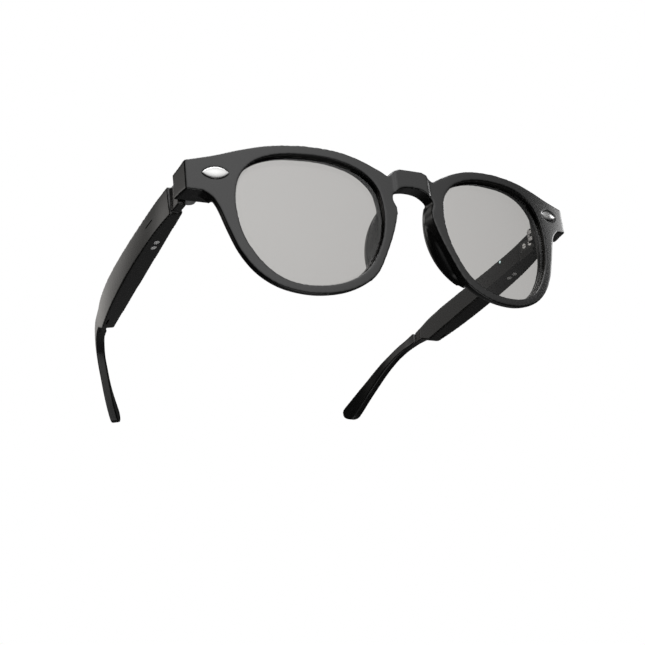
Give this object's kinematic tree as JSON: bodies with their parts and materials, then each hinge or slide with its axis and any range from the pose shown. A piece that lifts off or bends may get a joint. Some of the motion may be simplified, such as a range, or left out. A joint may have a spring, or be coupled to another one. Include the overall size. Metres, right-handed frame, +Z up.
{
  "type": "smart glasses",
  "caption": "Smart glasses with a bowed keyhole-bridge front, clear lenses and two folding temples that hold speakers, batteries and charging contacts.",
  "frame": {"origin": "middle of the glasses' footprint, on the surface they stand on with the temples open, resting on the lower edges of both rims and on both ear tips", "axes": "+X towards the wearer's left, across the front; +Y from the lenses back along the temples; +Z up"},
  "size_m": [0.156, 0.1536, 0.0481],
  "materials": {
    "frame_plastic": "satin near-black moulded plastic",
    "lens_glass": "polished, lightly grey tinted",
    "polished_steel": "polished",
    "hinge_steel": "fine brushed",
    "battery_foil": "satin pouch foil",
    "board": "green solder mask",
    "speaker_black": "matt",
    "mesh_black": "fine woven mesh",
    "sensor_gold": "satin can",
    "copper_pad": "thin copper film",
    "led_lens": "clear light pipe"
  },
  "bodies": {
    "front": {"front_frame": "frame_plastic", "lens_left": "lens_glass", "lens_right": "lens_glass", "rivet_left": "polished_steel", "rivet_right": "polished_steel", "hinge_front_left": "hinge_steel", "hinge_front_right": "hinge_steel", "hinge_screw_left": "polished_steel", "hinge_screw_right": "polished_steel"},
    "temple_left": {"hinge_temple_left": "hinge_steel", "leaf_screws_left": "polished_steel", "temple_shell_left": "frame_plastic", "temple_cover_left": "frame_plastic", "temple_tip_left": "frame_plastic", "core_wire_left": "hinge_steel", "battery_left": "battery_foil", "circuit_board_left": "board", "speaker_left": "speaker_black", "speaker_mesh_left": "mesh_black", "microphone_left": "sensor_gold", "touch_pad_left": "copper_pad", "charge_contacts_left": "polished_steel", "status_led_left": "led_lens"},
    "temple_right": {"hinge_temple_right": "hinge_steel", "leaf_screws_right": "polished_steel", "temple_shell_right": "frame_plastic", "temple_cover_right": "frame_plastic", "temple_tip_right": "frame_plastic", "core_wire_right": "hinge_steel", "battery_right": "battery_foil", "circuit_board_right": "board", "speaker_right": "speaker_black", "speaker_mesh_right": "mesh_black", "microphone_right": "sensor_gold", "touch_pad_right": "copper_pad", "charge_contacts_right": "polished_steel"}
  },
  "joints": [
    {"name": "temple_fold_left", "type": "hinge", "parent": "front", "child": "temple_left", "pos_m": [0.0681, -0.05514, 0.03631], "axis": [0, -0.0658, 0.9978], "range_deg": [0, 90]},
    {"name": "temple_fold_right", "type": "hinge", "parent": "front", "child": "temple_right", "pos_m": [-0.0681, -0.05514, 0.03631], "axis": [0, 0.0658, -0.9978], "range_deg": [0, 82]}
  ]
}
